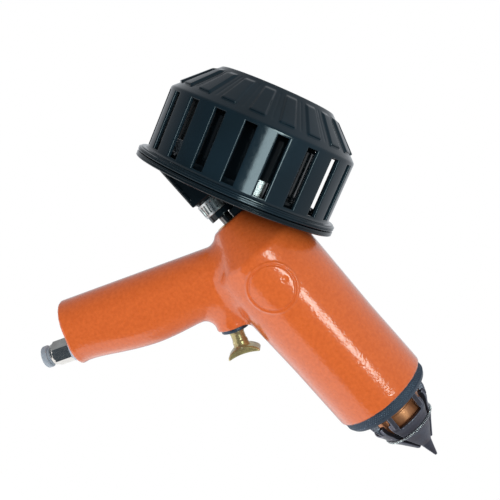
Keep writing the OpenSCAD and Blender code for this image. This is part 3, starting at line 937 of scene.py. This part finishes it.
# body, CAD node, turn in degrees from the top jaw's place, and whether the jaw is long
JAWS = [("near_jaw", "jaw_near", 90, True), ("far_jaw", "jaw_far", -90, True),
        ("bottom_jaw", "jaw_bottom", 180, False), ("top_jaw", "jaw_top", 0, False)]
SPRING_X, SPRING_R = 28.5, 17.4
COIL_R, COIL_WIRE_R, COIL_PITCH = 0.62, 0.24, 1.15
COIL_ARC_HALF, COIL_POINTS = 0.82, 520
EAR_HALF, EAR_GAP, ARM_HALF = 8.4, 0.3, 11.8
JAW_HALF_ANGLE = math.radians(38)
BEAK_X, SHORT_X = 55.8, 44
WINDOW_HALF, WINDOW_IN, WINDOW_END = 8.8, 12, 20.2
PIN_R, PIN_HOLE_R, KNUCKLE_R = 1.5, 1.55, 2.9
RING_BORE_R, RING_MOUTH_R = 25.6, 26.6
KNURLS, KNURL_PITCH, KNURL_DEPTH = 120, 1.9, 0.38
# lays what was drawn along Z on its side, along Y
ON_SIDE = Matrix.Rotation(math.pi / 2, 4, "X")
# the jaws' outlines, as (distance from the barrel's axis, x)
OUTSIDE = [
    (22, 14.5), (22.1, 17.5), (21.2, 20.5), (19, 24), (17.5, 27.4), (16.6, 27.8), (16.6, 29.2),
    (17, 29.7), (13.4, 34.5)]
INSIDE = [(10, 34), (14.9, 25), (17.9, 19.5), (18.6, 14.5)]
LONG_JAW = OUTSIDE + [(6.2, SHORT_X), (1.6, BEAK_X), (0.35, BEAK_X), (3.6, SHORT_X)] + INSIDE
SHORT_JAW = OUTSIDE + [(6.8, SHORT_X), (4.4, SHORT_X)] + INSIDE
ARM = [(PIVOT_X, 16.8), (PIVOT_X, 22.4), (13.5, 21.4), (18.5, 19.4), (18.5, 17.9), (14, 16.8)]


def about_barrel(turn):
    """A turn about the barrel's axis, in degrees from the top jaw's place."""
    return Matrix.Rotation(math.radians(turn) - JAW_PHASE, 4, "X")


def on_each_jaw(shape):
    return joined(*[moved(shape, about_barrel(turn)) for _, _, turn, _ in JAWS])


def jaw_field(profile):
    """The field of a jaw that points up: part of a turned shell, with a window and two ears."""
    def field(p):
        x, y, z = p.T
        about = np.hypot(y, z)
        shell = outline_field(profile, about, x)
        sector = np.abs(y) * math.cos(JAW_HALF_ANGLE) - z * math.sin(JAW_HALF_ANGLE)
        body = round_cut(shell, sector, 0.4)
        window = np.maximum(np.abs(y) - WINDOW_HALF, x - WINDOW_END)
        body = round_cut(body, -np.maximum(window, WINDOW_IN - z), 1.0)
        from_pivot = np.hypot(x - PIVOT_X, z - PIVOT_R)
        arm = np.minimum(outline_field(ARM, x, z), from_pivot - KNUCKLE_R)
        from_ear = np.abs(y) - (EAR_HALF + EAR_GAP + ARM_HALF) / 2
        ear = round_cut(arm, np.abs(from_ear) - (ARM_HALF - EAR_HALF - EAR_GAP) / 2, 0.5)
        body = round_union(body, ear, 0.8)
        return np.maximum(body, PIN_HOLE_R - from_pivot)
    return field


def make_jaws():
    for long in (True, False):
        outline, end = (LONG_JAW, BEAK_X) if long else (SHORT_JAW, SHORT_X)
        shape = surface(jaw_field(outline), (3, -16, -1), (end + 1, 16, 25), FINE_CELL)
        for body, node, turn, is_long in JAWS:
            if is_long == long:
                jaw = moved(shape, about_barrel(turn))
                piece(node + "_forging", jaw, ROW, body, "dark_steel", node, sharp=50)


def make_spring_arcs():
    """The garter spring, as one arc of coils on each jaw."""
    for body, node, turn, _ in JAWS:
        turns = np.linspace(-COIL_ARC_HALF, COIL_ARC_HALF, COIL_POINTS)
        coil = turns * SPRING_R / COIL_PITCH * TAU
        out = SPRING_R + COIL_R * np.cos(coil)
        path = np.stack([SPRING_X + COIL_R * np.sin(coil), out * np.sin(turns), out * np.cos(turns)], -1)
        arc = moved(tube(path, COIL_WIRE_R, 6), about_barrel(turn))
        piece("spring_on_" + body, arc, ROW, body, "spring_steel", "garter_spring", sharp=80)


def knurled(radius, height, angle):
    """Diamond knurling on the ring's round face."""
    turn, rise = angle / TAU * KNURLS, height / KNURL_PITCH
    first, second = [np.abs(lines % 1 - 0.5) * 2 for lines in (turn + rise, turn - rise)]
    band = smooth(height, 0.7, 1.0) * (1 - smooth(height, 4.7, 5.0))
    depth = KNURL_DEPTH * np.maximum(first, second) ** 2
    return np.where(radius > RING_R - 0.6, radius - band * depth, radius)


def make_nose():
    face = [
        (SKIRT_R - FIT, SKIRT_X + 2), (SKIRT_R - FIT, 0), (RING_R, 0), (RING_R, 5.2),
        (RING_R - 1.3, RING_LEN), (RING_MOUTH_R, RING_LEN), (RING_BORE_R, RING_LEN - 1), (RING_BORE_R, 0),
        (LINER_R - 0.2, -0.5), (LINER_R - 0.2, SKIRT_X + 2)]
    face = softened(face, [0.3, 0.1, 0.35, 0.3, 0.5, 0.3, 0.3, 0.2, 0.1, 0.2])
    face = lathe(dense(face, 0.28, lambda p: p[0] > RING_R - 0.1), 1200, knurled)
    piece("knurled_ring", face, BARREL, "frame", "black_oxide", "retaining_ring", sharp=60)

    hub = [(9, -3), (27, -3), (27, 0), (22.5, 0), (22.5, 3), (15.8, 3), (15.8, 8.4), (15, 10), (9, 10)]
    hub = lathe(softened(hub, [0.3, 0.3, 0.3, 0.2, 0.6, 0.6, 0.3, 0.3, 0.3]), 128)
    lug = softened([(2, 14), (10, 14), (10, 22), (2, 22)], [0, 0, 2.4, 1.2], steps=5)
    lug = moved(prism(lug, -EAR_HALF, EAR_HALF), ON_SIDE)
    piece("hub", moved(hub, BARREL_TO_ROW), ROW, "frame", "black_oxide", "nose_body")
    piece("hub_lugs", on_each_jaw(lug), ROW, "frame", "black_oxide", "nose_body", bevel=0.7)

    sleeve = [
        (9.6, 10), (17.2, 10), (17.2, 12), (16.8, 12.3), (16.8, 13), (17.2, 13.3), (17.2, 20), (14.4, 24.5),
        (9.6, 24.5)]
    sleeve = softened(sleeve, [0.3, 0.5, 0.15, 0.15, 0.15, 0.15, 0.8, 0.6, 0.4])
    piece("sleeve", lathe(sleeve, 128), BARREL, "frame", "copper_bronze", "nose_sleeve")

    pin = [(0, -ARM_HALF), (PIN_R, -ARM_HALF), (PIN_R, ARM_HALF), (0, ARM_HALF)]
    pin = lathe(softened(pin, [0, 0.4, 0.4, 0]), 24)
    pin = moved(pin, Matrix.Translation((PIVOT_X, 0, PIVOT_R)) @ ON_SIDE)
    piece("pivot_pins", on_each_jaw(pin), ROW, "frame", "bright_steel", "jaw_pins")


# ---- springs in the casting

PISTON_WIRE_R = 1.1
SPOOL_WIRE_R = 0.5
TURN_POINTS = 28


def helix(outer, wire_r, low, high, turns, sides):
    """A compression spring with flat end coils."""
    mean_r = outer - wire_r
    angle = np.linspace(0, TAU * turns, int(turns * TURN_POINTS))
    rise = np.clip((angle / TAU - 0.75) / (turns - 1.5), 0, 1)
    height = low + wire_r + rise * (high - low - 2 * wire_r)
    return tube(np.stack([mean_r * np.cos(angle), mean_r * np.sin(angle), height], -1), wire_r, sides)


def make_springs():
    low, high, outer = extent("return_spring", BARREL)
    coils = helix(outer, PISTON_WIRE_R, low, high, 10.5, 8)
    spring = piece("piston_spring", coils, BARREL, "frame", "spring_steel", "return_spring", sharp=80)
    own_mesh(spring)
    low, high, outer = extent("valve_spring", TRIGGER)
    coils = helix(outer, SPOOL_WIRE_R, low, high, 6.5, 6)
    spring = piece("spool_spring", coils, TRIGGER, "frame", "spring_steel", "valve_spring", sharp=80)
    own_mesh(spring)


# ---- trigger and air inlet

PLATE_TIP = 50
PLATE_HALF = 10.5
PLATE_SIDE = 6.5
DISH_R, DISH_X = 33, 81.3
BACK_R, BACK_X = 13.5, 56.9
STEM_R = 5
STEM_START = 14
FITTING_R = 4.95
HEX_HALF = 7
# how much the sealing ring is wider and thicker than the CAD node, to fill the gap under the handle
SEAL_SPARE = 1.8


def trigger_field(p):
    """The stem and its crescent finger plate, dished towards the finger."""
    x, y, z = p.T
    about = np.hypot(x, y)
    back = np.hypot(x, z - BACK_X) - BACK_R
    dish = DISH_R - np.hypot(x, z - DISH_X)
    plate = round_cut(back, dish, 0.7)
    plate = round_cut(plate, np.abs(x) - PLATE_HALF, 0.8)
    plate = round_cut(plate, np.maximum(np.abs(y) - PLATE_SIDE, PLATE_TIP - 10 - z), 1.3)
    waist = STEM_R - 0.5 * smooth(z, 34, 36) * (1 - smooth(z, 39, 41))
    stem = np.maximum(np.maximum(about - waist, STEM_START - z), z - BACK_X + BACK_R - 1.2)
    return round_union(stem, plate, 1.6)


def make_trigger():
    shape = surface(trigger_field, (-12, -8, 13), (12, 8, 52), FINE_CELL)
    piece("finger_plate", shape, TRIGGER, "trigger_valve", "trigger_brass", "trigger", sharp=50)
    low, high, outer = extent("trigger_bush", TRIGGER)
    bush = [
        (STEM_R + FIT, low), (BUSH_BORE_R, low), (BUSH_BORE_R, BOSS_X), (outer, BOSS_X), (outer, high),
        (STEM_R + FIT, high)]
    bush = lathe(softened(bush, [0.2, 0.3, 0.1, 0.3, 0.8, 0.5]))
    piece("stem_bush", bush, TRIGGER, "frame", "black_oxide", "trigger_bush")


def make_inlet():
    body = [
        (6.1, -16), (6.8, -15.4), (6.8, -14.1), (7.2, -14), (8.08, -13.2), (8.08, -2.8), (7.2, -2),
        (FITTING_R, -2), (FITTING_R, 14), (2.5, 14), (2.5, -3), (4.05, -3), (4.05, -10), (5.3, -10),
        (5.3, -16)]
    body = lathe(softened(body, 0.25), 288, hexagon(HEX_HALF))
    piece("push_fitting", body, INLET, "frame", "nickel", "inlet_fitting", sharp=30)
    low, high, outer = extent("inlet_seal", INLET)
    washer = ring(outer + SEAL_SPARE, FITTING_R, low, high + SEAL_SPARE, 0.8)
    piece("seal_washer", washer, INLET, "frame", "seal_ring", "inlet_seal")
    low, high, outer = extent("inlet_collar", INLET)
    collar = [(4.2, low), (outer, low), (outer, low + 3.7), (5.25, low + 3.7), (5.25, high), (4.2, high)]
    collar = lathe(softened(collar, [0.6, 1.1, 0.7, 0.2, 0.3, 0.3]))
    piece("collar", collar, INLET, "release_collar", "collar_plastic", "inlet_collar")


make_casting()
drum = make_basket()
make_drum_base()
make_drum_parts()
make_feed()
make_nose()
make_jaws()
make_spring_arcs()
make_springs()
make_trigger()
make_inlet()
dress_nodes()


# ---- stage, light and camera

FLOOR_X, FLOOR_HALF, FLOOR_Z = (-0.9, 0.7), 0.7, -0.7
BRIGHT_SIDE = (0.35, 0.85, 0.35)
# the world's colours as the object sees them, as (position, colour) from the dark to the bright side
SKY = [(0.1, (0.1, 0.13, 0.16, 1)), (0.85, (0.86, 0.9, 0.95, 1))]
SKY_STRENGTH = 0.82
WHITE = (1, 1, 1, 1)
TOOL_MIDDLE = (-0.075, 0, 0)
SENSOR, LENS = 36, 49.68
CAMERA_AT = (-0.1494, -0.4226, 0.0572)
CAMERA_LOOK = (0.0684, 0.9879, -0.1391)
CAMERA_UP = (-0.748, 0, 0.664)


def make_floor():
    """A plain pale floor well below the tool."""
    low, high = FLOOR_X
    verts = [(low, -FLOOR_HALF), (high, -FLOOR_HALF), (high, FLOOR_HALF), (low, FLOOR_HALF)]
    mesh = bpy.data.meshes.new("floor")
    mesh.from_pydata([(x, y, FLOOR_Z) for x, y in verts], [], [(0, 1, 2, 3)])
    floor = added("floor", mesh)
    pale, _ = new_material(
        "pale_floor", Base_Color=(0.9, 0.9, 0.9, 1), Roughness=0.8, Emission_Color=WHITE,
        Emission_Strength=0.75)
    mesh.materials.append(pale)


def world_light():
    """White all round for the camera; for the object, bright behind and to the nose side."""
    world = bpy.data.worlds.new("studio")
    scene.world = world
    world.use_nodes = True
    world.node_tree.nodes.clear()
    coords = node_of(world, "ShaderNodeTexCoord")
    tilt = node_of(world, "ShaderNodeVectorMath")
    tilt.operation = "DOT_PRODUCT"
    tilt.inputs[1].default_value = BRIGHT_SIDE
    ramp = node_of(world, "ShaderNodeValToRGB")
    for stop, (position, colour) in zip(ramp.color_ramp.elements, SKY):
        stop.position = position
        stop.color = colour
    around = node_of(world, "ShaderNodeBackground", Strength=SKY_STRENGTH)
    plain = node_of(world, "ShaderNodeBackground", Color=WHITE, Strength=1.0)
    path = node_of(world, "ShaderNodeLightPath")
    choose = node_of(world, "ShaderNodeMixShader")
    out = node_of(world, "ShaderNodeOutputWorld")
    link(world, coords, "Generated", tilt, 0)
    shift = spread(world, tilt, "Value", -1, 1, 0, 1)
    link(world, shift, "Result", ramp, "Fac")
    link(world, ramp, "Color", around, "Color")
    link(world, path, "Is Camera Ray", choose, "Fac")
    link(world, around, 0, choose, 1)
    link(world, plain, 0, choose, 2)
    link(world, choose, 0, out, "Surface")


def aim(made, across, up, back):
    """Turns a lamp or a camera, which looks away from back."""
    made.rotation_mode = "QUATERNION"
    made.rotation_quaternion = Matrix((across, up, back)).transposed().to_quaternion()


def area_light(name, towards, distance, size, power, tint, target=TOOL_MIDDLE, roll=(1, 0, 0)):
    """A soft panel at a distance from the target, in a direction from it, its long side along roll."""
    data = bpy.data.lights.new(name, "AREA")
    data.shape = "RECTANGLE"
    data.size, data.size_y = size
    data.energy = power
    data.color = tint
    lamp = added(name, data)
    back = Vector(towards).normalized()
    lamp.location = Vector(target) + back * distance
    long_side = Vector(roll)
    long_side = (long_side - back * long_side.dot(back)).normalized()
    aim(lamp, long_side, back.cross(long_side), back)
    return lamp


def make_camera():
    data = bpy.data.cameras.new("camera")
    data.sensor_width = SENSOR
    data.lens = LENS
    camera = added("camera", data)
    camera.location = CAMERA_AT
    back = -Vector(CAMERA_LOOK).normalized()
    up = Vector(CAMERA_UP)
    up = (up - back * up.dot(back)).normalized()
    aim(camera, up.cross(back), up, back)
    scene.camera = camera


make_floor()
world_light()
make_camera()
area_light("softbox", (0.2, -0.9, 0.37), 0.9, (0.34, 0.18), 2.5, tint=(0.8, 1, 0.95))
fill = area_light("fill", (-0.2, -0.9, 0.25), 1.2, (0.8, 0.8), 8.6, tint=(1, 0.88, 0.84))
fill.visible_glossy = False
# a tall window that only the drum's round wall reflects
window = area_light(
    "window", (0.3, -0.95, 0.1), 0.9, (0.3, 0.6), 8.5, target=(-0.155, -0.06, 0.04), roll=(0.903, 0, 0.429),
    tint=(0.72, 0.94, 1))
receivers = bpy.data.collections.new("window_receivers")
receivers.objects.link(drum)
window.light_linking.receiver_collection = receivers
scene.view_settings.view_transform = "Standard"
